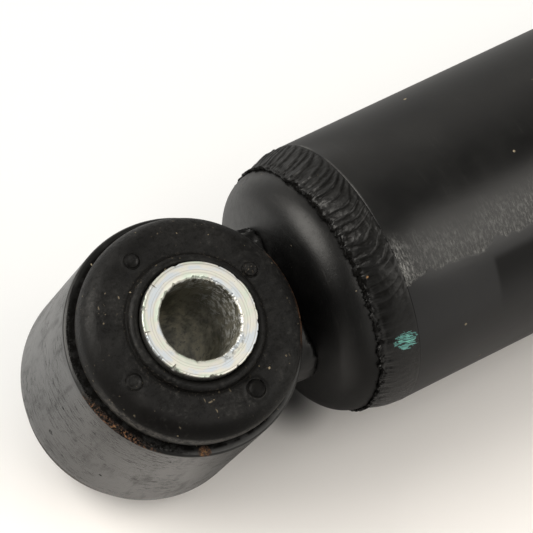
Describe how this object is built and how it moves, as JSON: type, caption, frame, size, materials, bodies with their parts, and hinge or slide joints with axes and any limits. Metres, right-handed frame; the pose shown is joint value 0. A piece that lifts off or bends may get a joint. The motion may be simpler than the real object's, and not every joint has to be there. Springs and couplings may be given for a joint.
{
  "type": "shock absorber",
  "caption": "Telescopic shock absorber on its side: rubber-bushed eye at each end, welded reservoir tube, sliding rod under a dust tube, ported valves inside.",
  "frame": {"origin": "centre of the lower eye's bore", "axes": "+X along the shock from the lower eye to the upper eye, +Z along both eye bores"},
  "size_m": [0.5976, 0.06, 0.06],
  "materials": {
    "black_paint": "satin black paint",
    "bush_rubber": "moulded",
    "zinc_plate": "zinc plated, turned",
    "bright_steel": "bright",
    "spring_steel": "spring steel",
    "sintered_iron": "sintered",
    "hard_chrome": "ground and chromed",
    "bronze": "plain bearing",
    "band_plastic": "filled plastic",
    "seal_rubber": "moulded"
  },
  "bodies": {
    "reservoir_assembly": {"lower_eye_ring": "black_paint", "lower_eye_weld": "black_paint", "base_cap": "black_paint", "base_weld": "black_paint", "reservoir_tube": "black_paint", "lower_bush": "bush_rubber", "pressure_tube": "bright_steel", "foot_valve_bolt": "bright_steel", "foot_valve_nut": "bright_steel", "foot_valve_washer": "bright_steel", "closing_washer": "bright_steel", "foot_valve_spring": "spring_steel", "foot_valve_shims": "spring_steel", "seal_spring": "spring_steel", "foot_valve_body": "sintered_iron", "rod_guide": "sintered_iron", "guide_bush": "bronze", "rod_seal": "seal_rubber"},
    "rod_assembly": {"piston_rod": "hard_chrome", "piston": "sintered_iron", "piston_band": "band_plastic", "piston_spring": "spring_steel", "piston_washer": "bright_steel", "piston_shims": "spring_steel", "piston_clamp_washer": "bright_steel", "piston_nut": "bright_steel", "rebound_stop": "bright_steel", "rebound_bumper": "band_plastic", "upper_cap": "black_paint", "rod_weld": "bright_steel", "dust_tube": "black_paint", "dust_tube_weld": "black_paint", "upper_eye_ring": "black_paint", "upper_bush": "bush_rubber", "upper_eye_weld": "black_paint"},
    "lower_eye_sleeve": {"lower_sleeve": "zinc_plate"},
    "upper_eye_sleeve": {"upper_sleeve": "zinc_plate"},
    "foot_check_disc": {"foot_valve_disc": "spring_steel"},
    "piston_check_disc": {"piston_disc": "spring_steel"}
  },
  "joints": [
    {"name": "rod_slide", "type": "slide", "parent": "reservoir_assembly", "child": "rod_assembly", "axis": [1, 0, 0], "range_m": [-0.17, 0]},
    {"name": "lower_sleeve_twist", "type": "hinge", "parent": "reservoir_assembly", "child": "lower_eye_sleeve", "pos_m": [0, 0, 0], "axis": [0, 0, 1], "range_deg": [-20, 20], "stiffness_Nm_per_rad": 40},
    {"name": "upper_sleeve_twist", "type": "hinge", "parent": "rod_assembly", "child": "upper_eye_sleeve", "pos_m": [0.54964, 0, 0], "axis": [0, 0, 1], "range_deg": [-20, 20], "stiffness_Nm_per_rad": 40},
    {"name": "foot_disc_lift", "type": "slide", "parent": "reservoir_assembly", "child": "foot_check_disc", "axis": [1, 0, 0], "range_m": [0, 0.0012], "stiffness_N_per_m": 2000, "springref_m": -0.002, "deforming": ["foot_valve_spring"]},
    {"name": "piston_disc_lift", "type": "slide", "parent": "rod_assembly", "child": "piston_check_disc", "axis": [1, 0, 0], "range_m": [0, 0.0012], "stiffness_N_per_m": 2000, "springref_m": -0.002, "deforming": ["piston_spring"]}
  ]
}
